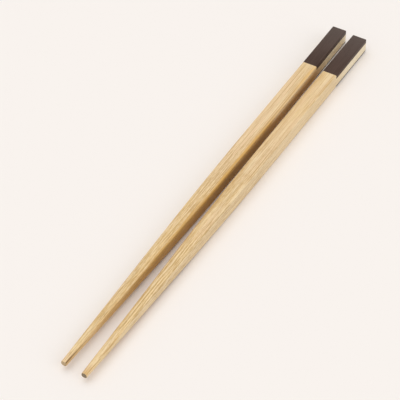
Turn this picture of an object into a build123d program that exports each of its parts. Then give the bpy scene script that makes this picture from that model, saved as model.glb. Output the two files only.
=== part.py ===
from build123d import *

import os
from math import atan, degrees

# A pair of bamboo chopsticks lying side by side, with the tips towards -Y.
# Each stick is one bar of bamboo, square at the handle and drawn down to a nearly round tip.
# Two thin dark plates are let into the handle end, one in the top face and one in the bottom
# face. They were dressed flush with the bamboo, so all three pieces share one outer surface.
# Frame: millimetres, Z up, origin on the resting surface under the middle of the pair.

# One stick
STICK_LENGTH = 240.0
HANDLE_WIDTH = 7.2
HANDLE_EDGE_RADIUS = 0.5
HANDLE_END_ROUNDING = 0.25

# The taper: the straight taper lines would meet the handle's flats at TAPER_LENGTH from the tip.
# The shoulder is the stretch, half on each side of that point, where handle eases into taper.
TAPER_LENGTH = 112.0
SHOULDER_LENGTH = 80.0
TIP_WIDTH = 2.6
TIP_FLAT = 0.3
TIP_END_ROUNDING = 0.3

# The plates let into the handle end: the bottom one is the thinner
PLATE_LENGTH = 31.0
TOP_PLATE_THICKNESS = 2.0
BOTTOM_PLATE_THICKNESS = 0.8

# How the two sticks lie: the clear gaps between them at either end, and how far the right
# stick lies ahead of the left one towards the tips
HANDLE_GAP = 4.1
TIP_GAP = 7.7
STAGGER = 1.1

# Places along one stick, measured from its middle
handle_end = STICK_LENGTH / 2
tip_end = -STICK_LENGTH / 2
shoulder_start = tip_end + TAPER_LENGTH + SHOULDER_LENGTH / 2
shoulder_stop = tip_end + TAPER_LENGTH - SHOULDER_LENGTH / 2
axis_height = HANDLE_WIDTH / 2

# The taper's slope, and the section's corner radius where it ends
taper_slope = (HANDLE_WIDTH - TIP_WIDTH) / TAPER_LENGTH
tip_corner_radius = (TIP_WIDTH - TIP_FLAT) / 2


def stick_width(y):
    """Width across the flats: a parabola eases the handle into the straight taper."""
    if y >= shoulder_start:
        return HANDLE_WIDTH
    if y >= shoulder_stop:
        return HANDLE_WIDTH - taper_slope * (shoulder_start - y) ** 2 / (2 * SHOULDER_LENGTH)
    return TIP_WIDTH + taper_slope * (y - tip_end)


def corner_radius(y):
    """The crisp edges of the handle grow rounder from the shoulder to the tip."""
    share = max(0, shoulder_start - y) / (shoulder_start - tip_end)
    return HANDLE_EDGE_RADIUS + share * (tip_corner_radius - HANDLE_EDGE_RADIUS)


def section(y):
    """The stick's cross-section, a square with rounded corners standing across Y."""
    width = stick_width(y)
    plane = Plane(origin=(0, y, axis_height), x_dir=(1, 0, 0), z_dir=(0, -1, 0))
    return plane * RectangleRounded(width, width, corner_radius(y))


def end_edges(solid, y):
    """The edges round the end face that lies at y."""
    return solid.faces().filter_by(Axis.Y).sort_by(lambda face: abs(face.center().Y - y))[0].edges()


def whole_stick():
    """One stick as it is after dressing: square handle, shoulder, taper and rounded ends."""
    handle = extrude(section(handle_end), amount=handle_end - shoulder_start)
    handle = fillet(end_edges(handle, handle_end), HANDLE_END_ROUNDING)
    shoulder_middle = (shoulder_start + shoulder_stop) / 2
    shoulder = loft([section(y) for y in (shoulder_start, shoulder_middle, shoulder_stop)])
    taper = loft([section(y) for y in (shoulder_stop, tip_end)], ruled=True)
    taper = fillet(end_edges(taper, tip_end), TIP_END_ROUNDING)
    return handle + shoulder + taper


def plate_space(bottom, thickness):
    """The rebate that one plate fills, open to the sides, the end and above or below."""
    space = Box(HANDLE_WIDTH, PLATE_LENGTH, thickness, align=(Align.CENTER, Align.MAX, Align.MIN))
    return Pos(0, handle_end, bottom) * space


def stick_pieces():
    """The three pieces of one stick, cut from the one dressed outline so that they lie flush."""
    stick = whole_stick()
    top_space = plate_space(HANDLE_WIDTH - TOP_PLATE_THICKNESS, TOP_PLATE_THICKNESS)
    bottom_space = plate_space(0, BOTTOM_PLATE_THICKNESS)
    return {
        "bamboo_stick": stick - top_space - bottom_space,
        "top_plate": stick & top_space,
        "bottom_plate": stick & bottom_space,
    }


handle_spacing = HANDLE_WIDTH + HANDLE_GAP
tip_spacing = TIP_WIDTH + TIP_GAP
stick_offset = (handle_spacing + tip_spacing) / 4
toe_in = degrees(atan((handle_spacing - tip_spacing) / 2 / STICK_LENGTH))

os.makedirs("parts", exist_ok=True)
pieces = stick_pieces()
for side, sign in (("left", -1), ("right", 1)):
    place = Pos(sign * stick_offset, -sign * STAGGER / 2, 0) * Rot(0, 0, -sign * toe_in)
    for piece_name, piece in pieces.items():
        export_step(place * piece, f"parts/{side}_{piece_name}.step")
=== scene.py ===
import math

import bmesh
import bpy
import numpy as np
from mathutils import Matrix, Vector


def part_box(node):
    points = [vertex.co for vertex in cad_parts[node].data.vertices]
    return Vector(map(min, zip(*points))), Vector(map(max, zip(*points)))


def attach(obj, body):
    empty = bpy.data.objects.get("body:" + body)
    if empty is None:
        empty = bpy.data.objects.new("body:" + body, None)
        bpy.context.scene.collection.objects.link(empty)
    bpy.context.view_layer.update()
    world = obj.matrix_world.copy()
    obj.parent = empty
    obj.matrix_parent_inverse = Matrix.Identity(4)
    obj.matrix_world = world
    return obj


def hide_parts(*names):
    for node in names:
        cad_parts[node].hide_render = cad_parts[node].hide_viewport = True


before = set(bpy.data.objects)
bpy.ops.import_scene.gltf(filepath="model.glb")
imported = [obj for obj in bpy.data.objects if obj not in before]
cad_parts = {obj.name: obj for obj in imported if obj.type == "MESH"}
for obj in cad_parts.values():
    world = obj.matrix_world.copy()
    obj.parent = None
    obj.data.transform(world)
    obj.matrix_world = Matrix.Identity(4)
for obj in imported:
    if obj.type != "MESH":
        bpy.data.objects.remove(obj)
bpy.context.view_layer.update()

# A pair of bamboo chopsticks with dark plates let into the handle ends.
# Each stick is worked in its own millimetres: u across to the right, s along from the tip and
# z up from its axis. The frame says where its axis lies.
MM = 0.001

# One stick
TAPER_LENGTH = 112.0
SHOULDER_LENGTH = 80.0
TIP_WIDTH = 2.6
TIP_FLAT = 0.3
TIP_END_ROUNDING = 0.3
HANDLE_EDGE_RADIUS = 0.5
HANDLE_END_ROUNDING = 0.25

# The joint between plate and bamboo: both edges are eased, which leaves a hairline groove
SEAM_EASE = 0.05

# How deep into a packed stick its end faces are looked for
END_SLAB = 0.03

# How finely the surface is divided, and the turn in degrees past which an edge is shaded as sharp
FLAT_POINTS = 55
CORNER_STEPS = 6
ROUNDING_STEPS = 5
ROW_STEP = 1.0
PLATE_ROW_STEP = 2.0
SHARP_ANGLE = 35.0

# How near a joint, in halves of a flat, no other point of that flat may lie
JOINT_CLEARANCE = 0.4 / FLAT_POINTS

# Points closer than the first are welded, and faces narrower than the second are dissolved
WELD_DISTANCE = 1e-4
SLIVER_WIDTH = 1e-5

# The flat map of a piece's faces: how many strips the bamboo's length makes, and the room round each
MAP_STRIPS = 3
MAP_GUTTER = 0.3

# The hard fibre bundles that run along the bamboo and stand a little lower where a face cuts them.
# They fade in and out along the stick, and a power below 1 crowds them towards the skin side.
BUNDLE_COUNT = 150
BUNDLE_RADII = (0.12, 0.27)
BUNDLE_STRENGTHS = (0.45, 1.0)
BUNDLE_EDGE = 2.6
BUNDLE_PERIODS = (35.0, 110.0)
BUNDLE_LEVEL = 0.7
BUNDLE_SWING = 0.6
BUNDLE_CROWDING = 0.75

# How the bundles wander together, in a large and a small wave that are counted in stick lengths
BUNDLE_WANDER = 0.16
WAVES_ACROSS = (1.3, 3.7)
WAVES_UP = (1.1, 4.3)
SMALL_WAVE = 0.4

# The relief that the bundles leave, and how it fades towards the tip and the plates
RELIEF_DEPTH = 0.018
RELIEF_FADE = 2.0
RELIEF_MARGIN = 1.0

# The cane's darker skin lies on one side, the one that faces the other stick, and painted shade of the
# gap between the sticks lies with it, which makes it thicker towards the bottom of that side
SKIN_AND_SHADE_ACROSS = 0.8
SKIN_AND_SHADE_DOWN = 0.35

# What differs between the two sticks. The bow is how far the middle bends to the right. The skin
# side is the one that was the outside of the cane; it faces the other stick and also carries painted
# shade of the gap. The grain start shifts all the noises.
# The line strengths are the one everywhere and what the line stretch adds to it.
# A streak has a colour, a place round the stick, half its width there, a stretch along the stick and
# a strength. Places round the stick count from 0 in the middle of the top over 1 at its right edge
# and 2 in the middle of the right side to 3 at the edge below. Those on the left are negative.
# The tip grain is how much the cut end at the tip is darkened.
STICKS = {
    "left": {
        "seed": 122,
        "bow": 0.30,
        "skin_and_shade_side": 1,
        "grain_start": 81.8,
        "pale_stretch": (112.0, 200.0),
        "gold_stretch": (18.0, 110.0),
        "line_stretch": (34.0, 92.0),
        "line_strengths": (0.5, 0.15),
        "row_strength": 0.35,
        "streaks": [
            ("tan", -0.50, 0.10, (168.0, 207.0), 0.60),
            ("tan", 0.08, 0.11, (183.0, 206.0), 0.60),
            ("amber", 0.92, 0.30, (192.0, 212.0), 0.80),
            ("gold", 0.88, 0.18, (118.0, 154.0), 0.75),
            # Painted light: this gold streak paints the half-lit rounded edge and the lit top of the
            # side that faces the other stick
            ("gold", 1.15, 0.42, (102.0, 166.0), 0.85),
            ("tan", 0.84, 0.10, (154.0, 186.0), 0.75),
            ("cream", 0.37, 0.14, (155.0, 185.0), 0.60),
            ("tan", -0.37, 0.09, (128.0, 160.0), 0.55),
            ("tan", 0.20, 0.08, (126.0, 150.0), 0.50),
            ("gold", 0.82, 0.20, (66.0, 104.0), 0.50),
            ("brown", 1.06, 0.13, (32.0, 92.0), 0.55),
            ("cream", 1.22, 0.30, (166.0, 208.0), 0.60),
            ("brown", 2.45, 0.90, (178.0, 207.0), 0.90),
            ("stain", 1.10, 0.45, (-6.0, 6.0), 1.00),
            ("stain", 1.25, 0.30, (3.0, 13.0), 0.55),
        ],
        "tip_grain": 0.42,
    },
    "right": {
        "seed": 311,
        "bow": 0.0,
        "skin_and_shade_side": -1,
        "grain_start": 100.2,
        "pale_stretch": (126.0, 172.0),
        "gold_stretch": (18.0, 95.0),
        "line_stretch": (34.0, 80.0),
        "line_strengths": (0.42, 0.15),
        "row_strength": 0.85,
        "streaks": [
            ("brown", 0.97, 0.07, (76.0, 106.0), 0.60),
            ("tan", 0.60, 0.08, (92.0, 108.0), 0.75),
            ("cream", 0.84, 0.08, (100.0, 124.0), 0.60),
            ("tan", 0.74, 0.07, (124.0, 150.0), 0.75),
            ("tan", 0.97, 0.07, (124.0, 166.0), 0.70),
            ("tan", 0.30, 0.08, (108.0, 146.0), 0.55),
            ("tan", -0.55, 0.08, (112.0, 140.0), 0.50),
            ("cream", -0.18, 0.30, (131.0, 143.0), 0.50),
            ("tan", 0.95, 0.10, (182.0, 207.0), 0.70),
            ("tan", -0.85, 0.28, (166.0, 209.0), 0.40),
            ("cream", 0.40, 0.30, (200.0, 208.0), 0.50),
            ("gold", 0.40, 0.90, (-6.0, 3.0), 0.60),
            ("gold", 1.10, 0.35, (-6.0, 24.0), 0.45),
            ("stain", 1.02, 0.16, (4.0, 20.0), 0.35),
        ],
        "tip_grain": 0.95,
    },
}

# Colours of the bamboo
BAMBOO_TAN = (0.800, 0.570, 0.290)
BAMBOO_PALE = (0.880, 0.675, 0.400)
BAMBOO_PINK = (0.840, 0.620, 0.390)
BAMBOO_GOLD = (0.800, 0.545, 0.235)
BAMBOO_PEACH = (0.840, 0.590, 0.350)
BAMBOO_CREAM = (0.920, 0.730, 0.450)
TIP_YELLOW = (0.930, 0.705, 0.375)
INNER_SIDE = (0.845, 0.675, 0.420)
# Skin colours: the cane's darker skin together with painted shade of the gap between the sticks
SKIN_AND_SHADE_GOLD = (0.725, 0.455, 0.185)
SKIN_AND_SHADE_TAN = (0.580, 0.330, 0.085)
SKIN_AND_SHADE_BROWN = (0.450, 0.240, 0.052)
FIBRE_BROWN = (0.400, 0.235, 0.075)
ROW_BROWN = (0.460, 0.270, 0.080)
CORE_CREAM = (0.890, 0.780, 0.575)
END_GROUND = (0.240, 0.180, 0.110)
END_DOT = (0.115, 0.080, 0.045)
STREAK_COLOURS = {
    "tan": (0.560, 0.360, 0.145),
    "gold": (0.680, 0.390, 0.100),
    "amber": (0.810, 0.520, 0.200),
    "cream": BAMBOO_CREAM,
    "brown": (0.380, 0.215, 0.055),
    "stain": (0.240, 0.135, 0.045),
}

# Colours of the plates
PLATE_DARK = (0.046, 0.023, 0.015)
PLATE_LIGHT = (0.074, 0.042, 0.031)
# The lightest plate colour is a painted sheen towards the plates' far end
PLATE_SHEEN = (0.104, 0.078, 0.067)

# Noises drawn out along the stick: their scales in each millimetre across, along and up, their
# detail and roughness, and a shift that keeps each apart from the others. The long lines have one
# noise for the top and bottom faces and one for the sides.
NOISES = {
    "tone": ((0.22, 0.016, 0.22), 2.0, 0.5, 1.3),
    "blush": ((0.36, 0.045, 0.36), 2.0, 0.5, 11.4),
    "band": ((1.00, 0.010, 0.40), 2.0, 0.55, 7.9),
    "row_wander": ((0.30, 0.014, 0.30), 1.0, 0.5, 4.4),
    "pale_line_on_top": ((1.8, 0.011, 0.50), 2.0, 0.6, 2.2),
    "pale_line_on_side": ((0.50, 0.011, 1.8), 2.0, 0.6, 32.2),
    "dark_line_on_top": ((2.0, 0.011, 0.50), 2.0, 0.6, 3.1),
    "dark_line_on_side": ((0.50, 0.011, 2.0), 2.0, 0.6, 33.1),
    "dash": ((2.6, 0.06, 2.6), 2.0, 0.6, 14.6),
    "fleck": ((2.2, 0.35, 2.2), 2.0, 0.6, 17.2),
    "fibre": ((8.00, 0.070, 8.00), 3.0, 0.7, 5.7),
    "streak_wander": ((0.70, 0.035, 0.70), 2.0, 0.5, 8.3),
    "streak_patch": ((1.30, 0.10, 1.30), 2.0, 0.6, 9.2),
    "plate_cloud": ((0.25, 0.06, 0.25), 2.0, 0.5, 2.0),
    "plate_streak": ((2.60, 0.08, 2.60), 3.0, 0.6, 6.0),
    "plate_pore": ((7.00, 0.60, 7.00), 3.0, 0.65, 4.0),
}

# How much of a noise's start goes in each of the three directions
SHIFT_WAYS = (1.0, 0.37, 0.71)

# Smooth steps of a value: where the share starts, where it is full, and how much it is there.
# The value is a noise, a row's wave, the distance from a dot, or a place. Names with across or skin
# step a place in half widths, and names with along step a place in millimetres.
STEPS = {
    "tone": (0.40, 0.62, 0.7),
    "blush": (0.50, 0.64, 0.6),
    "band": (0.46, 0.64, 0.5),
    "across_on_side": (0.88, 0.99, 1.0),
    "across_inner_side": (-0.8, -1.0, 0.8),
    "along_tip_yellow": (26.0, 8.0, 0.75),
    "along_tip_peach": (8.0, 3.0, 0.65),
    # The skin's steps also place painted shade of the gap between the sticks
    "skin_and_shade_gold": (-0.20, 0.30, 0.75),
    "skin_and_shade_brown": (0.10, 0.55, 0.95),
    "along_skin_and_shade_narrows": (95.0, 150.0, 0.28),
    "along_skin_and_shade_narrows_again": (156.0, 184.0, 0.14),
    "pale_row": (-0.2, -0.9, 0.5),
    "dark_row": (0.45, 0.90, 0.85),
    "pale_line": (0.54, 0.61, 0.8),
    "dark_line": (0.55, 0.61, 0.75),
    "pale_dash": (0.48, 0.34, 0.65),
    "dark_dash": (0.52, 0.66, 0.6),
    "pale_fleck": (0.48, 0.34, 0.35),
    "dark_fleck": (0.52, 0.66, 0.3),
    "along_dash_loss": (130.0, 172.0, 0.6),
    "streak_patch": (0.30, 0.50, 1.0),
    "along_off_the_end": (0.02, 0.30, 1.0),
    "fibre": (0.46, 0.74, 0.45),
    "end_dot": (0.42, 0.18, 0.65),
    "plate_light": (0.35, 0.75, 1.0),
    "plate_pore": (0.56, 0.70, 0.5),
}

# Stretches along the stick: how softly their two ends fade, and how strong the tones in them are
GOLD_FADE = 16.0
GOLD_SHARE = 0.6
PALE_FADE = 14.0
PALE_SHARE = 0.6
LINE_FADE = 18.0
ROW_FADE = 14.0
STREAK_FADE = 4.0

# The skin with the painted shade of the gap: the stretch where it is browner, how much of it is left
# at the tip, and the places along the stick between which it grows to the whole
SKIN_AND_SHADE_BROWN_STRETCH = (105.0, 170.0)
SKIN_AND_SHADE_BROWN_FADE = 22.0
SKIN_AND_SHADE_LEFT_AT_TIP = 0.32
SKIN_AND_SHADE_GROWTH = (12.0, 62.0)

# The rows of fibres that show as long lines on the top and bottom faces
ROW_SPACING = 1.2
ROW_OFFSET = -0.1
ROW_WANDER = 0.30

# Streaks wander round the stick by this much either way, and this share of their width is solid
STREAK_WANDER = 0.08
STREAK_SOLID = 0.3

# The bamboo between the plates is paler, from before the plates start to well behind that
CORE_REACH = (-5.0, 14.0)
CORE_SHARE = 0.90

# The cut ends: how deep their dark colour starts and is full, how strong it is at the handles and
# how many dots there are in a millimetre
END_DEPTHS = (0.20, 0.02)
FAR_END_SHARE = 0.45
END_DOT_SCALE = 2.1

# What makes the plates lighter in places, and a painted sheen, which grows along them as if they went on
# past the far end
PLATE_STREAK_SHARE = 0.6
PLATE_CLOUD_SHARE = 0.5
PLATE_SHEEN_PAST_END = 8.0
PLATE_SHEEN_SHARE = 0.85

# Finishes: roughness and how much a noise adds to it, gloss, and the bump's strength and depth.
# The bamboo's bump is lowered by its fibres and, by less, its dark lines.
BAMBOO_FINISH = {"rough": 0.42, "uneven": 0.18, "specular": 0.35, "bump": 0.35, "depth": 0.04}
PLATE_FINISH = {"rough": 0.40, "uneven": 0.16, "specular": 0.15, "bump": 0.25, "depth": 0.02}
FIBRE_HEIGHT = -1.0
LINE_HEIGHT = -0.6

# Camera, in the frame's millimetres and degrees, for a square picture
PICTURE_PIXELS = 400
FOCAL_PIXELS = 1742.7
CAMERA_TARGET = (-7.465, -8.790, 0.0)
CAMERA_DISTANCE = 760.6
CAMERA_AZIMUTH = 30.343
CAMERA_ELEVATION = 44.162
SENSOR_WIDTH = 36.0

# Light: shares of the level at which a colour renders as it is written, and angles in degrees
SKY_LEVEL = 0.59
LAMPS = {
    "overhead": {"level": 0.33, "azimuth": 270.0, "elevation": 77.0, "spread": 65.0},
    "side": {"level": 0.08, "azimuth": 85.0, "elevation": 32.0, "spread": 45.0},
}

# Floor, in metres
FLOOR_COLOUR = (0.947, 0.896, 0.855)
FLOOR_SIZE = 8.0


def axis_of(side):
    """Where the axis of one packed stick starts, at the tip, and ends, in metres."""
    node = f"{side}_bamboo_stick"
    points = np.array([vertex.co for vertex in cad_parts[node].data.vertices])
    low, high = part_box(node)
    ends = []
    for y in (low.y, high.y):
        face = points[abs(points[:, 1] - y) < END_SLAB * MM]
        ends.append(Vector(((face[:, 0].min() + face[:, 0].max()) / 2, y, (low.z + high.z) / 2)))
    along = (ends[1] - ends[0]).normalized()
    reach = points @ np.array(along)
    tip = ends[0] + along * (reach.min() - ends[0].dot(along))
    return tip, tip + along * (reach.max() - reach.min())


def span_of(node, way):
    """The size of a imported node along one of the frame's axes, in millimetres."""
    low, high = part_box(node)
    return (high[way] - low[way]) / MM


tip_centre, end_centre = axis_of("left")
STICK_LENGTH = round((end_centre - tip_centre).length / MM, 2)
HANDLE_WIDTH = round(span_of("left_bamboo_stick", 2), 2)
PLATE_LENGTH = round(span_of("left_top_plate", 1), 1)
TOP_PLATE_THICKNESS = round(span_of("left_top_plate", 2), 2)
BOTTOM_PLATE_THICKNESS = round(span_of("left_bottom_plate", 2), 2)

plate_start = STICK_LENGTH - PLATE_LENGTH
shoulder_tip_side = TAPER_LENGTH - SHOULDER_LENGTH / 2
shoulder_handle_side = TAPER_LENGTH + SHOULDER_LENGTH / 2
core_top = HANDLE_WIDTH / 2 - TOP_PLATE_THICKNESS
core_bottom = BOTTOM_PLATE_THICKNESS - HANDLE_WIDTH / 2


def half_width(s):
    """Half the width across the flats: a parabola eases the handle into the straight taper."""
    slope = (HANDLE_WIDTH - TIP_WIDTH) / TAPER_LENGTH
    straight = TIP_WIDTH + slope * s
    eased = HANDLE_WIDTH - slope * np.maximum(0, shoulder_handle_side - s) ** 2 / (2 * SHOULDER_LENGTH)
    return np.where(s < shoulder_tip_side, straight, eased) / 2


def corner_radius(s):
    """The crisp edges of the handle grow rounder from the shoulder to the tip."""
    tip_radius = (TIP_WIDTH - TIP_FLAT) / 2
    share = np.maximum(0, shoulder_handle_side - s) / shoulder_handle_side
    return HANDLE_EDGE_RADIUS + share * (tip_radius - HANDLE_EDGE_RADIUS)


def flat_places():
    """Places along one flat, from -1 to 1, with some exactly at the joints of the plates."""
    flat_half = HANDLE_WIDTH / 2 - HANDLE_EDGE_RADIUS
    joints = [joint + ease for joint in (core_top, core_bottom) for ease in (-SEAM_EASE, 0, SEAM_EASE)]
    joints = np.array(joints + [-joint for joint in joints]) / flat_half
    even = np.linspace(-1, 1, FLAT_POINTS)
    clear = np.abs(even[:, None] - joints).min(axis=1) > JOINT_CLEARANCE
    return np.sort(np.concatenate([even[clear], joints]))


def ring_pattern():
    """One turn round the section, as shares of the flat's half (a, c) and of the edge radius (b, d).

    A point lies at u = a * flat + b * radius and z = c * flat + d * radius, so (b, d) is also the
    way outwards. The turn starts at the bottom of the right side and runs up it.
    """
    arc = np.arange(1, CORNER_STEPS) / CORNER_STEPS * math.pi / 2
    quarter = [(1.0, 1.0, place, 0.0) for place in flat_places()]
    quarter += [(1.0, math.cos(angle), 1.0, math.sin(angle)) for angle in arc]
    turns = [quarter]
    for _ in range(3):
        turns.append([(-c, -d, a, b) for a, b, c, d in turns[-1]])
    return np.array(sum(turns, []))


RING = ring_pattern()
RIGHT_SIDE = np.arange(len(flat_places()))
LEFT_SIDE = RIGHT_SIDE + len(RING) // 2


def between_plates(side):
    """The points of the right or left side that lie between the joints of the two plates."""
    height = RING[side, 2] * (HANDLE_WIDTH / 2 - HANDLE_EDGE_RADIUS)
    return side[(height > core_bottom - SEAM_EASE / 2) & (height < core_top + SEAM_EASE / 2)]


right_core = between_plates(RIGHT_SIDE)
left_core = between_plates(LEFT_SIDE)
over_top = np.arange(right_core[-1], left_core[0] + 1)
under_bottom = np.arange(left_core[-1], right_core[0] + len(RING) + 1) % len(RING)


def surface(s, inset, columns):
    """Points of the stick's surface: one row for each s, one column for each place in the ring."""
    s = np.asarray(s, float)[:, None]
    radius = corner_radius(s)
    flat = half_width(s) - radius
    a, b, c, d = RING[columns].T
    u = a * flat + b * (radius - inset)
    z = c * flat + d * (radius - inset)
    return np.stack([u, np.broadcast_to(s, u.shape), z], axis=2)


def rounding(radius):
    """Steps round the end of a stick: how far from the end, and how far in from the surface."""
    angle = np.linspace(0, math.pi / 2, ROUNDING_STEPS + 1)
    return radius * (1 - np.sin(angle)), radius * (1 - np.cos(angle))


class Shell:
    """The faces of one closed piece, gathered in a stick's own millimetres and then welded."""

    def __init__(self):
        self.points = []
        self.faces = []

    def grid(self, rows):
        """A patch of quads over rows of points."""
        start = len(self.points)
        row_count, column_count = rows.shape[:2]
        self.points.extend(rows.reshape(-1, 3))
        corner = start + np.arange(row_count * column_count).reshape(row_count, column_count)
        quads = np.stack([corner[:-1, :-1], corner[:-1, 1:], corner[1:, 1:], corner[1:, :-1]], axis=2)
        self.faces.extend(quads.reshape(-1, 4).tolist())

    def cap(self, outline):
        """A flat face inside an outline, as a fan of triangles round its middle."""
        start, count = len(self.points), len(outline)
        self.points.extend(outline)
        self.points.append(np.mean(outline, axis=0))
        rim = start + np.arange(count)
        middle = np.full(count, start + count)
        self.faces.extend(np.stack([rim, np.roll(rim, -1), middle], axis=1).tolist())

    def mesh(self, name):
        """The welded mesh, still in the stick's own millimetres."""
        mesh = bpy.data.meshes.new(name)
        mesh.from_pydata([tuple(point) for point in self.points], [], self.faces)
        work = bmesh.new()
        work.from_mesh(mesh)
        bmesh.ops.remove_doubles(work, verts=work.verts, dist=WELD_DISTANCE)
        bmesh.ops.dissolve_degenerate(work, edges=work.edges, dist=SLIVER_WIDTH)
        bmesh.ops.recalc_face_normals(work, faces=work.faces)
        work.to_mesh(mesh)
        work.free()
        return mesh


def add_bar(shell):
    """The bamboo from the tip to the plates, closed at the tip and at the front of each rebate."""
    tip_back, tip_inset = rounding(TIP_END_ROUNDING)
    first = math.ceil(TIP_END_ROUNDING / ROW_STEP) * ROW_STEP
    plain = np.arange(first, plate_start - ROW_STEP / 2, ROW_STEP)
    s = np.concatenate([tip_back[::-1], plain, [plate_start - SEAM_EASE, plate_start]])
    ring = np.arange(len(RING))
    beside_plate = ~np.isin(ring, np.concatenate([right_core[1:-1], left_core[1:-1]]))
    inset = np.zeros((len(s), len(RING)))
    inset[: len(tip_back)] = tip_inset[::-1, None]
    inset[-1, beside_plate] = SEAM_EASE
    rows = surface(s, inset, ring)
    shell.grid(np.concatenate([rows, rows[:, :1]], axis=1))
    shell.cap(rows[0])
    shell.cap(rows[-1, over_top])
    shell.cap(rows[-1, under_bottom])


def handle_rows(s, columns):
    """Rows of the handle end and how far in their points lie: at the joints and the rounded end."""
    end_back, end_inset = rounding(HANDLE_END_ROUNDING)
    s = np.concatenate([s, STICK_LENGTH - end_back])
    inset = np.zeros((len(s), len(columns)))
    inset[-len(end_inset):] = end_inset[:, None]
    inset[:, [0, -1]] = np.maximum(inset[:, [0, -1]], SEAM_EASE)
    return s, inset


def add_core(shell):
    """The bamboo between the plates, as far as the far end."""
    last = STICK_LENGTH - HANDLE_END_ROUNDING - PLATE_ROW_STEP / 2
    s, inset = handle_rows(np.arange(plate_start, last, PLATE_ROW_STEP), right_core)
    right = surface(s, inset, right_core)
    left = surface(s, inset, left_core)
    shell.grid(right)
    shell.grid(left)
    shell.grid(np.stack([right[:, -1], left[:, 0]], axis=1))
    shell.grid(np.stack([left[:, -1], right[:, 0]], axis=1))
    shell.cap(np.concatenate([right[-1], left[-1]]))


def bamboo_shell():
    """The bamboo of one stick, with the two rebates that the plates fill."""
    shell = Shell()
    add_bar(shell)
    add_core(shell)
    return shell


def plate_shell(columns):
    """One plate, whose outer skin carries on the bamboo's and whose back lies in the rebate."""
    plain = np.arange(plate_start + PLATE_ROW_STEP, STICK_LENGTH - PLATE_ROW_STEP / 2, PLATE_ROW_STEP)
    s, inset = handle_rows(np.concatenate([[plate_start, plate_start + SEAM_EASE], plain]), columns)
    inset[0] = SEAM_EASE
    rows = surface(s, inset, columns)
    shell = Shell()
    shell.grid(rows)
    shell.grid(np.stack([rows[:, -1], rows[:, 0]], axis=1))
    shell.cap(rows[0])
    shell.cap(rows[-1])
    return shell


def rows_of(items, name):
    """A property of three numbers of all the vertices or faces of a mesh, as rows."""
    flat = np.zeros(len(items) * 3)
    items.foreach_get(name, flat)
    return flat.reshape(-1, 3)


def counts_of(items, name):
    """A property of one whole number of all the faces or corners of a mesh."""
    counts = np.zeros(len(items), int)
    items.foreach_get(name, counts)
    return counts


def store(mesh, name, kind, values):
    """A value for each vertex, under a name that a material reads."""
    made = mesh.attributes.new(name, kind, "POINT")
    field = "vector" if kind == "FLOAT_VECTOR" else "value"
    made.data.foreach_set(field, np.ravel(values).astype(np.float32))


def waves(turns, counts, phases):
    """A wander along the stick, from a large and a small wave."""
    return np.sin(turns * counts[0] + phases[0]) + SMALL_WAVE * np.sin(turns * counts[1] + phases[1])


def bundle_strength(points, seed, skin_and_shade_side):
    """How far each point lies inside a fibre bundle, from 0 to 1."""
    random = np.random.default_rng(seed)
    reach = HANDLE_WIDTH / 2 + BUNDLE_RADII[1]
    phases = random.uniform(0, 2 * math.pi, 4)
    u, s, z = points.T
    turns = 2 * math.pi * s / STICK_LENGTH
    u = u + BUNDLE_WANDER * waves(turns, WAVES_ACROSS, phases[:2])
    z = z + BUNDLE_WANDER * waves(turns, WAVES_UP, phases[2:])
    strength = np.zeros(len(points))
    for _ in range(BUNDLE_COUNT):
        centre = reach * (2 * random.uniform(0, 1, 2) ** (BUNDLE_CROWDING, 1.0) - 1) * (skin_and_shade_side, 1)
        radius = random.uniform(*BUNDLE_RADII)
        period = random.uniform(*BUNDLE_PERIODS)
        phase = random.uniform(0, 2 * math.pi)
        most = random.uniform(*BUNDLE_STRENGTHS)
        away = np.hypot(u - centre[0], z - centre[1]) / radius
        along = np.clip(BUNDLE_LEVEL + BUNDLE_SWING * np.sin(2 * math.pi * s / period + phase), 0, 1)
        inside = np.clip(BUNDLE_EDGE - BUNDLE_EDGE * away, 0, 1)
        strength = np.maximum(strength, most * along * inside)
    return strength


def relief(mesh, stick):
    """Lowers the bamboo's surface along the fibre bundles, away from the plates and the tip.

    It also stores where the bundles, the sides and the skin with its painted shade of the gap lie, for
    the material.
    """
    points = rows_of(mesh.vertices, "co")
    normals = rows_of(mesh.vertices, "normal")
    u, s, z = points.T
    strength = bundle_strength(points, stick["seed"], stick["skin_and_shade_side"])
    from_plate = np.clip((plate_start - RELIEF_MARGIN - s) / RELIEF_FADE, 0, 1)
    from_tip = np.clip((s - TIP_END_ROUNDING) / RELIEF_FADE, 0, 1)
    depth = RELIEF_DEPTH * strength * from_plate * from_tip
    mesh.vertices.foreach_set("co", (points - normals * depth[:, None]).ravel())
    half = half_width(s)
    towards_skin_and_shade = stick["skin_and_shade_side"] * u
    store(mesh, "bundle", "FLOAT", strength * np.clip(s / TIP_END_ROUNDING, 0, 1))
    store(mesh, "side", "FLOAT", towards_skin_and_shade / half)
    # Painted shade: the skin's share grows down the side that faces the other stick
    store(mesh, "skin", "FLOAT", (SKIN_AND_SHADE_ACROSS * towards_skin_and_shade - SKIN_AND_SHADE_DOWN * z) / half)


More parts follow.
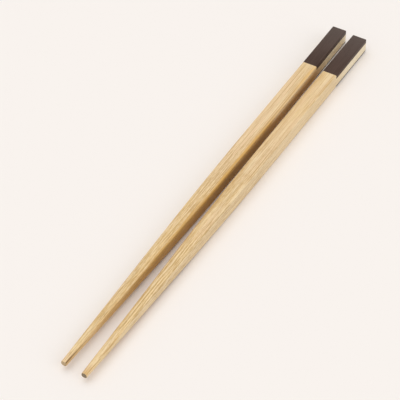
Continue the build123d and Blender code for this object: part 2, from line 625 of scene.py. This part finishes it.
def lay_out(mesh, start, strip_length, strips):
    """A flat map of a piece's faces: strips along the stick for four sides, then the two ends."""
    pitch = HANDLE_WIDTH + 2 * MAP_GUTTER
    inward = HANDLE_WIDTH / 2 + MAP_GUTTER
    corner_counts = counts_of(mesh.polygons, "loop_total")
    right, back, up = rows_of(mesh.polygons, "normal").T
    side = np.argmax(np.stack([right, up, -right, -up, back, -back]), axis=0)
    middle = rows_of(mesh.polygons, "center")[:, 1]
    strip = np.clip((middle - start) // strip_length, 0, strips - 1)
    side = np.repeat(side, corner_counts)
    strip = np.repeat(strip, corner_counts)
    u, s, z = rows_of(mesh.vertices, "co")[counts_of(mesh.loops, "vertex_index")].T
    x = s - start - strip * strip_length + MAP_GUTTER
    y = np.where(side % 2 == 0, z, u) + inward + (strip * 4 + side) * pitch
    at_end = side > 3
    x = np.where(at_end, u + inward + strip_length + 2 * MAP_GUTTER, x)
    y = np.where(at_end, z + inward + (side - 4) * pitch, y)
    edge = max(strips * 4 * pitch, strip_length + 2 * MAP_GUTTER + pitch)
    layer = mesh.uv_layers.new(name="OFBake")
    layer.data.foreach_set("uv", np.stack([x, y], axis=1).ravel() / edge)


def move_to_frame(mesh, side):
    """Moves a mesh from its stick's own millimetres to where the frame has the stick."""
    tip, end = axis_of(side)
    along = (end - tip).normalized()
    across = along.cross(Vector((0, 0, 1))).normalized()
    up = across.cross(along)
    u, s, z = rows_of(mesh.vertices, "co").T
    share = s / STICK_LENGTH
    bowed = u + STICKS[side]["bow"] * 4 * share * (1 - share)
    moved = np.array(tip) + MM * (np.outer(bowed, across) + np.outer(s, along) + np.outer(z, up))
    mesh.vertices.foreach_set("co", moved.ravel())


def add_piece(mesh, name, side, material, node):
    """One piece of a stick as an object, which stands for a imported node."""
    store(mesh, "grain", "FLOAT_VECTOR", rows_of(mesh.vertices, "co"))
    move_to_frame(mesh, side)
    mesh.shade_smooth()
    mesh.set_sharp_from_angle(angle=math.radians(SHARP_ANGLE))
    mesh.update()
    mesh.materials.append(material)
    piece = bpy.data.objects.new(name, mesh)
    bpy.context.scene.collection.objects.link(piece)
    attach(piece, "root")
    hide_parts(node)


def new_material(name):
    """An empty node material and its tree."""
    material = bpy.data.materials.new(name)
    material.use_nodes = True
    material.node_tree.nodes.clear()
    return material, material.node_tree


def add(tree, kind, inputs=None, **settings):
    """A shader node with its settings, and its inputs set or linked by name or number."""
    made = tree.nodes.new("ShaderNode" + kind)
    for name, value in settings.items():
        setattr(made, name, value)
    for name, value in (inputs or {}).items():
        if isinstance(value, bpy.types.NodeSocket):
            tree.links.new(value, made.inputs[name])
        else:
            made.inputs[name].default_value = value
    return made


def stored(tree, name, output):
    """A value that the mesh holds for each vertex."""
    return add(tree, "Attribute", attribute_name=name).outputs[output]


def calculate(tree, operation, first, second=0.0, third=0.0):
    """The result of one Math node."""
    return add(tree, "Math", {0: first, 1: second, 2: third}, operation=operation).outputs[0]


def product(tree, first, *others):
    """Values multiplied together."""
    for other in others:
        first = calculate(tree, "MULTIPLY", first, other)
    return first


def ramp(tree, value, low, high):
    """A smooth step of value from 0 at low to 1 at high."""
    inputs = {"Value": value, "From Min": low, "From Max": high}
    return add(tree, "MapRange", inputs, interpolation_type="SMOOTHSTEP").outputs["Result"]


def share_of(tree, value, low, high, most):
    """A smooth step of value that reaches no further than most."""
    return product(tree, ramp(tree, value, low, high), most)


def stretch(tree, along, limits, fade):
    """1 inside a stretch of the stick, fading to 0 at its two ends."""
    rise = ramp(tree, along, limits[0] - fade, limits[0] + fade)
    fall = ramp(tree, along, limits[1] + fade, limits[1] - fade)
    return product(tree, rise, fall)


def blend(tree, share, first, second):
    """Two colours mixed by a share."""
    made = add(tree, "Mix", {"Factor": share}, data_type="RGBA")
    for socket, value in ((made.inputs[6], first), (made.inputs[7], second)):
        if isinstance(value, bpy.types.NodeSocket):
            tree.links.new(value, socket)
        else:
            socket.default_value = (*value, 1.0)
    return made.outputs[2]


def named_noise(tree, grain, name, start):
    """One of the named noises, drawn out along the stick."""
    scales, detail, roughness, shift = NOISES[name]
    begin = [(start + shift) * way for way in SHIFT_WAYS]
    place = add(tree, "VectorMath", {0: grain, 1: scales}, operation="MULTIPLY").outputs[0]
    place = add(tree, "VectorMath", {0: place, 1: begin}).outputs[0]
    inputs = {"Vector": place, "Scale": 1.0, "Detail": detail, "Roughness": roughness}
    return add(tree, "TexNoise", inputs).outputs["Fac"]


def satin(tree, colour, uneven, height, finish):
    """A satin surface, whose roughness follows one value and whose bump follows a height."""
    depth = finish["depth"] * MM
    bump = add(tree, "Bump", {"Height": height, "Strength": finish["bump"], "Distance": depth})
    shader = add(tree, "BsdfPrincipled", {
        "Base Color": colour,
        "Roughness": calculate(tree, "MULTIPLY_ADD", uneven, finish["uneven"], finish["rough"]),
        "Specular IOR Level": finish["specular"],
        "Normal": bump.outputs["Normal"],
    })
    add(tree, "OutputMaterial", {"Surface": shader.outputs[0]})


class Bamboo:
    """The nodes of one stick's bamboo. Each layer lays its colours over those before it."""

    def __init__(self, tree, stick):
        self.tree = tree
        self.stick = stick
        self.grain = stored(tree, "grain", "Vector")
        self.axes = add(tree, "SeparateXYZ", {0: self.grain}).outputs
        self.along = self.axes["Y"]
        self.across = stored(tree, "side", "Fac")
        self.on_side = self.step("across_on_side", calculate(tree, "ABSOLUTE", self.across))
        self.fibre = self.noise("fibre")
        self.dark_line = self.long_lines("dark_line")
        self.colour = BAMBOO_TAN
        self.pale = BAMBOO_CREAM

    def noise(self, name):
        """One of the named noises, at this stick's own place in it."""
        return named_noise(self.tree, self.grain, name, self.stick["grain_start"])

    def step(self, name, value):
        """One of the named steps of a value."""
        return share_of(self.tree, value, *STEPS[name])

    def within(self, limits, fade):
        """1 inside a stretch along the stick."""
        return stretch(self.tree, self.along, limits, fade)

    def calculate(self, operation, *values):
        """The result of one Math node."""
        return calculate(self.tree, operation, *values)

    def lay(self, colour, *shares):
        """Lays a colour over those before it, by the product of some shares."""
        self.colour = blend(self.tree, product(self.tree, *shares), self.colour, colour)

    def long_lines(self, name):
        """Noise drawn out into long lines, fine across the top and bottom and fine up the sides."""
        on_top = self.noise(name + "_on_top")
        difference = self.calculate("SUBTRACT", self.noise(name + "_on_side"), on_top)
        return self.calculate("MULTIPLY_ADD", difference, self.on_side, on_top)

    def tones(self):
        """Broad tones from tan to gold, with pale and peach places, and yellow towards the tip."""
        self.lay(BAMBOO_GOLD, self.step("tone", self.noise("tone")))
        self.lay(BAMBOO_GOLD, self.within(self.stick["gold_stretch"], GOLD_FADE), GOLD_SHARE)
        self.lay(BAMBOO_PINK, self.within(self.stick["pale_stretch"], PALE_FADE), PALE_SHARE)
        self.lay(BAMBOO_PEACH, self.step("blush", self.noise("blush")))
        self.lay(BAMBOO_PALE, self.step("band", self.noise("band")))
        self.lay(INNER_SIDE, self.step("across_inner_side", self.across))
        self.lay(TIP_YELLOW, self.step("along_tip_yellow", self.along))
        self.lay(BAMBOO_PEACH, self.step("along_tip_peach", self.along))

    def skin(self):
        """The skin of the cane with painted shade of the gap between the sticks, which narrows towards
        the handle and is mostly shaved off at the tip.
        """
        place = stored(self.tree, "skin", "Fac")
        grown = ramp(self.tree, self.along, *SKIN_AND_SHADE_GROWTH)
        left = self.calculate("MULTIPLY_ADD", grown, 1 - SKIN_AND_SHADE_LEFT_AT_TIP, SKIN_AND_SHADE_LEFT_AT_TIP)
        self.lay(SKIN_AND_SHADE_GOLD, self.step("skin_and_shade_gold", place), left)
        place = self.calculate("SUBTRACT", place, self.step("along_skin_and_shade_narrows", self.along))
        place = self.calculate("SUBTRACT", place, self.step("along_skin_and_shade_narrows_again", self.along))
        share = product(self.tree, self.step("skin_and_shade_brown", place), left)
        brown = self.within(SKIN_AND_SHADE_BROWN_STRETCH, SKIN_AND_SHADE_BROWN_FADE)
        colour = blend(self.tree, brown, SKIN_AND_SHADE_TAN, SKIN_AND_SHADE_BROWN)
        self.lay(colour, share)
        self.pale = blend(self.tree, share, self.pale, colour)

    def rows(self):
        """Rows of fibres on the top and bottom faces, brown along them and pale between them."""
        wander = self.noise("row_wander")
        place = self.calculate("MULTIPLY_ADD", wander, 2 * ROW_WANDER, self.axes["X"])
        place = self.calculate("SUBTRACT", place, ROW_OFFSET + ROW_WANDER)
        wave = self.calculate("COSINE", product(self.tree, place, 2 * math.pi / ROW_SPACING))
        on_top = self.calculate("SUBTRACT", 1.0, self.on_side)
        within = self.within(self.stick["line_stretch"], ROW_FADE)
        share = product(self.tree, within, on_top, self.stick["row_strength"])
        self.lay(BAMBOO_CREAM, self.step("pale_row", wave), share)
        self.lay(ROW_BROWN, self.step("dark_row", wave), share)

    def lines(self):
        """Long pale and dark lines, and the brown fibre bundles that the relief follows."""
        everywhere, more = self.stick["line_strengths"]
        within = self.within(self.stick["line_stretch"], LINE_FADE)
        share = self.calculate("MULTIPLY_ADD", within, more, everywhere)
        self.lay(self.pale, self.step("pale_line", self.long_lines("pale_line")), share)
        self.lay(FIBRE_BROWN, self.step("dark_line", self.dark_line), share)
        self.lay(ROW_BROWN, stored(self.tree, "bundle", "Fac"), share)

    def dashes(self):
        """Dashes where fibres come to the surface and dive under it, and shorter, fainter flecks.

        Both grow weaker towards the handle.
        """
        share = self.calculate("SUBTRACT", 1.0, self.step("along_dash_loss", self.along))
        for name in ("dash", "fleck"):
            noise = self.noise(name)
            self.lay(self.pale, self.step("pale_" + name, noise), share)
            self.lay(ROW_BROWN, self.step("dark_" + name, noise), share)

    def streaks(self):
        """The stick's own streaks, uneven and slightly wandering, and none on the end of the tip."""
        turn = self.calculate("ARCTAN2", self.axes["X"], self.axes["Z"])
        round_stick = product(self.tree, turn, 4 / math.pi)
        wander = self.noise("streak_wander")
        place = self.calculate("MULTIPLY_ADD", wander, 2 * STREAK_WANDER, round_stick)
        place = self.calculate("SUBTRACT", place, STREAK_WANDER)
        patches = self.step("streak_patch", self.noise("streak_patch"))
        uneven = product(self.tree, patches, self.step("along_off_the_end", self.along))
        for name, middle, half, limits, strength in self.stick["streaks"]:
            away = self.calculate("ABSOLUTE", self.calculate("SUBTRACT", place, middle))
            inside = ramp(self.tree, away, half, STREAK_SOLID * half)
            self.lay(STREAK_COLOURS[name], inside, uneven, self.within(limits, STREAK_FADE), strength)

    def core(self):
        """The paler bamboo between the plates."""
        low, high = (plate_start + reach for reach in CORE_REACH)
        self.lay(CORE_CREAM, share_of(self.tree, self.along, low, high, CORE_SHARE))

    def fibres(self):
        """The finest brown fibres, all over."""
        self.lay(FIBRE_BROWN, self.step("fibre", self.fibre))

    def cut_ends(self):
        """The cut ends, darkened and dotted with the ends of the fibre bundles."""
        scales = (END_DOT_SCALE, 0.0, END_DOT_SCALE)
        flat = add(self.tree, "VectorMath", {0: self.grain, 1: scales}, operation="MULTIPLY").outputs[0]
        away = add(self.tree, "TexVoronoi", {"Vector": flat, "Scale": 1.0}).outputs["Distance"]
        cut = blend(self.tree, self.step("end_dot", away), END_GROUND, END_DOT)
        at_tip = share_of(self.tree, self.along, *END_DEPTHS, self.stick["tip_grain"])
        low, high = (STICK_LENGTH - depth for depth in END_DEPTHS)
        at_far_end = share_of(self.tree, self.along, low, high, FAR_END_SHARE)
        self.lay(cut, self.calculate("MAXIMUM", at_tip, at_far_end))

    def finish(self):
        """Lightly oiled bamboo, with the fibres and the dark lines slightly sunk."""
        lines = product(self.tree, self.dark_line, LINE_HEIGHT)
        height = self.calculate("MULTIPLY_ADD", self.fibre, FIBRE_HEIGHT, lines)
        satin(self.tree, self.colour, self.fibre, height, BAMBOO_FINISH)


def bamboo_material(side):
    """Oiled bamboo, in layers from the broad tones to the finest fibres and the cut ends."""
    material, tree = new_material(f"{side}_bamboo")
    bamboo = Bamboo(tree, STICKS[side])
    bamboo.tones()
    bamboo.skin()
    bamboo.rows()
    bamboo.lines()
    bamboo.dashes()
    bamboo.streaks()
    bamboo.core()
    bamboo.fibres()
    bamboo.cut_ends()
    bamboo.finish()
    return material


def plate_material(side):
    """Satin dark brown plate with faint streaks along it, a painted sheen towards the far end and a fine
    sanded surface.
    """
    start = STICKS[side]["grain_start"]
    material, tree = new_material(f"{side}_plates")
    grain = stored(tree, "grain", "Vector")
    along = add(tree, "SeparateXYZ", {0: grain}).outputs["Y"]
    cloud = named_noise(tree, grain, "plate_cloud", start)
    streak = named_noise(tree, grain, "plate_streak", start)
    pore = named_noise(tree, grain, "plate_pore", start)
    clouds = product(tree, cloud, PLATE_CLOUD_SHARE)
    mixed = calculate(tree, "MULTIPLY_ADD", streak, PLATE_STREAK_SHARE, clouds)
    colour = blend(tree, share_of(tree, mixed, *STEPS["plate_light"]), PLATE_DARK, PLATE_LIGHT)
    # Painted sheen: the plates are painted lighter towards their far end
    painted_sheen = share_of(tree, along, plate_start, STICK_LENGTH + PLATE_SHEEN_PAST_END, PLATE_SHEEN_SHARE)
    colour = blend(tree, painted_sheen, colour, PLATE_SHEEN)
    colour = blend(tree, share_of(tree, pore, *STEPS["plate_pore"]), colour, PLATE_DARK)
    satin(tree, colour, pore, pore, PLATE_FINISH)
    return material


def build_sticks():
    """Both sticks, each of one bamboo piece and two plates."""
    for side, stick in STICKS.items():
        dark = plate_material(side)
        name = f"{side}_stick"
        bamboo = bamboo_shell().mesh(name)
        relief(bamboo, stick)
        lay_out(bamboo, 0, STICK_LENGTH / MAP_STRIPS, MAP_STRIPS)
        add_piece(bamboo, name, side, bamboo_material(side), f"{side}_bamboo_stick")
        for level, columns in (("top", over_top), ("bottom", under_bottom)):
            name = f"{side}_{level}_inlay"
            plate = plate_shell(columns).mesh(name)
            lay_out(plate, plate_start, PLATE_LENGTH, 1)
            add_piece(plate, name, side, dark, f"{side}_{level}_plate")


def build_floor():
    """A plain pale floor under the pair."""
    work = bmesh.new()
    bmesh.ops.create_grid(work, x_segments=1, y_segments=1, size=FLOOR_SIZE / 2)
    mesh = bpy.data.meshes.new("floor")
    work.to_mesh(mesh)
    work.free()
    material, tree = new_material("floor")
    shader = add(tree, "BsdfDiffuse", {"Color": (*FLOOR_COLOUR, 1.0)})
    add(tree, "OutputMaterial", {"Surface": shader.outputs[0]})
    mesh.materials.append(material)
    floor = bpy.data.objects.new("floor", mesh)
    bpy.context.scene.collection.objects.link(floor)


def direction(azimuth, elevation):
    """The way from the object to what stands at these angles. Azimuth 0 is in front, at -Y."""
    a, e = math.radians(azimuth), math.radians(elevation)
    return Vector((math.sin(a) * math.cos(e), -math.cos(a) * math.cos(e), math.sin(e)))


def build_surround():
    """An even sky, which the camera, reflections and glass see in the floor's colour."""
    world = bpy.data.worlds.new("surround")
    bpy.context.scene.world = world
    world.use_nodes = True
    tree = world.node_tree
    tree.nodes.clear()
    path = add(tree, "LightPath").outputs
    seen = calculate(tree, "MAXIMUM", path["Is Camera Ray"], path["Is Glossy Ray"])
    seen = calculate(tree, "MAXIMUM", seen, path["Is Transmission Ray"])
    sky = add(tree, "Background", {"Color": (1, 1, 1, 1), "Strength": SKY_LEVEL})
    backdrop = add(tree, "Background", {"Color": (*FLOOR_COLOUR, 1.0), "Strength": 1.0})
    mixed = add(tree, "MixShader", {0: seen, 1: sky.outputs[0], 2: backdrop.outputs[0]})
    add(tree, "OutputWorld", {"Surface": mixed.outputs[0]})


def build_lamps():
    """A large soft lamp overhead and a weak one from the side."""
    for name, settings in LAMPS.items():
        lamp = bpy.data.lights.new(name, "SUN")
        lamp.angle = math.radians(settings["spread"])
        lamp.energy = settings["level"] * math.pi / math.sin(math.radians(settings["elevation"]))
        way = direction(settings["azimuth"], settings["elevation"])
        holder = bpy.data.objects.new(name, lamp)
        holder.rotation_euler = way.to_track_quat("Z", "Y").to_euler()
        bpy.context.scene.collection.objects.link(holder)


def build_camera():
    """The camera at the photograph's angle."""
    data = bpy.data.cameras.new("camera")
    data.sensor_width = SENSOR_WIDTH
    data.lens = SENSOR_WIDTH * FOCAL_PIXELS / PICTURE_PIXELS
    camera = bpy.data.objects.new("camera", data)
    back = direction(CAMERA_AZIMUTH, CAMERA_ELEVATION)
    camera.location = (Vector(CAMERA_TARGET) + back * CAMERA_DISTANCE) * MM
    camera.rotation_euler = back.to_track_quat("Z", "Y").to_euler()
    bpy.context.scene.collection.objects.link(camera)
    bpy.context.scene.camera = camera


build_sticks()
build_floor()
build_surround()
build_lamps()
build_camera()
bpy.context.scene.view_settings.view_transform = "Standard"
